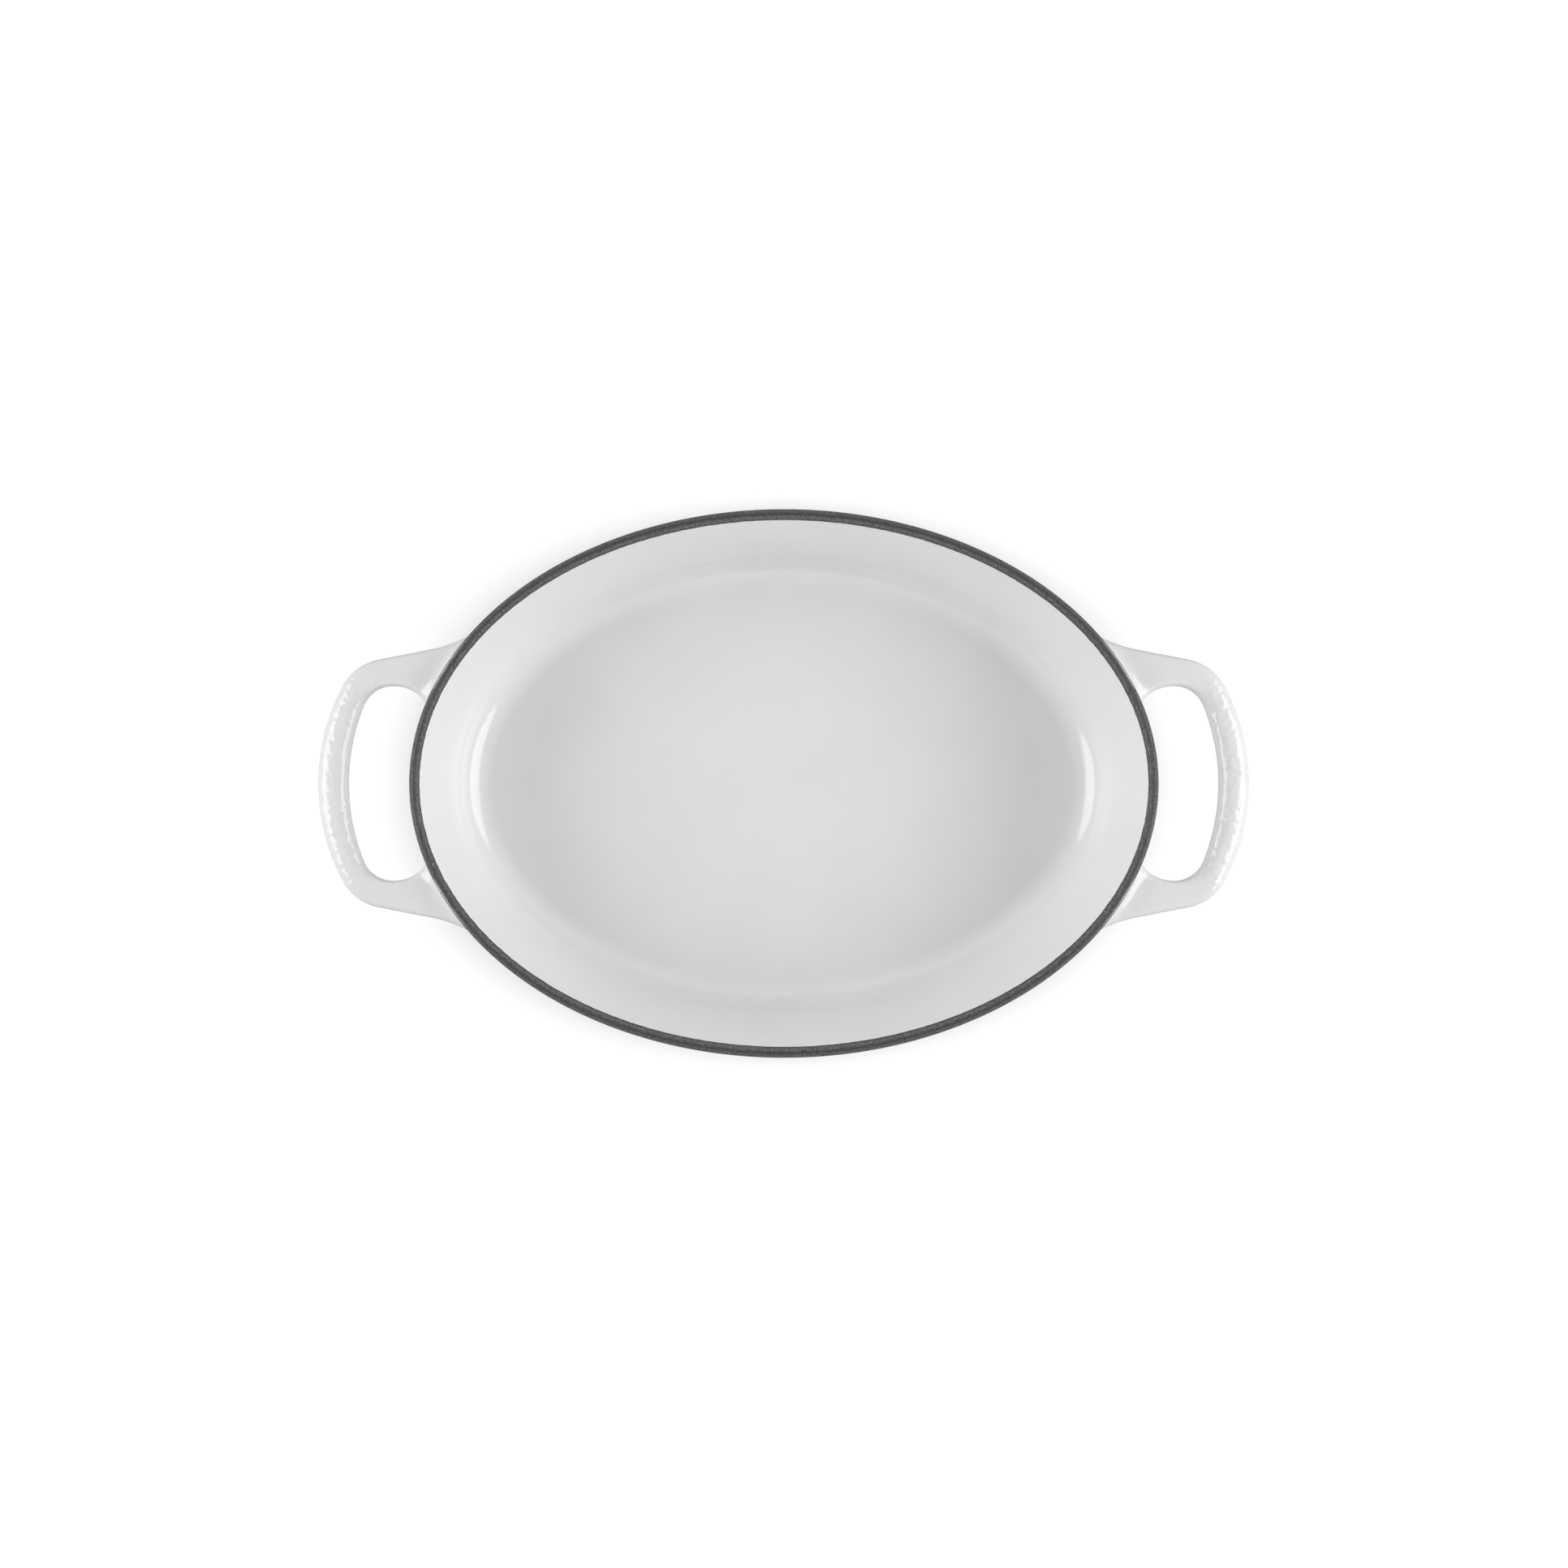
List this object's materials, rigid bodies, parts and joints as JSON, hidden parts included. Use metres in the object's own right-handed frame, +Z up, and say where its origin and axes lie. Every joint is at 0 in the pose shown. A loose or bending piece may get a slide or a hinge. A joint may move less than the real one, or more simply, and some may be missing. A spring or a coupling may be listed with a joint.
{
  "type": "roasting pan",
  "caption": "Open oval roasting pan in cast iron with a pale gloss enamel lining, white enamel outside, a dark matte rim band and a loop handle at each end.",
  "frame": {"origin": "on the table under the middle of the pan", "axes": "+X along the pan's length towards the right handle, +Y across it, +Z up"},
  "size_m": [0.3492, 0.205, 0.054],
  "materials": {
    "iron": "as cast, under the enamel",
    "pale_enamel": "gloss",
    "white_enamel": "gloss",
    "dark_enamel": "matte, finely grained"
  },
  "bodies": {
    "root": {"iron_casting": "iron", "interior_enamel": "pale_enamel", "rim_enamel": "dark_enamel", "exterior_enamel": "white_enamel", "base_enamel": "white_enamel", "left_handle_enamel": "white_enamel", "right_handle_enamel": "white_enamel"}
  },
  "joints": []
}
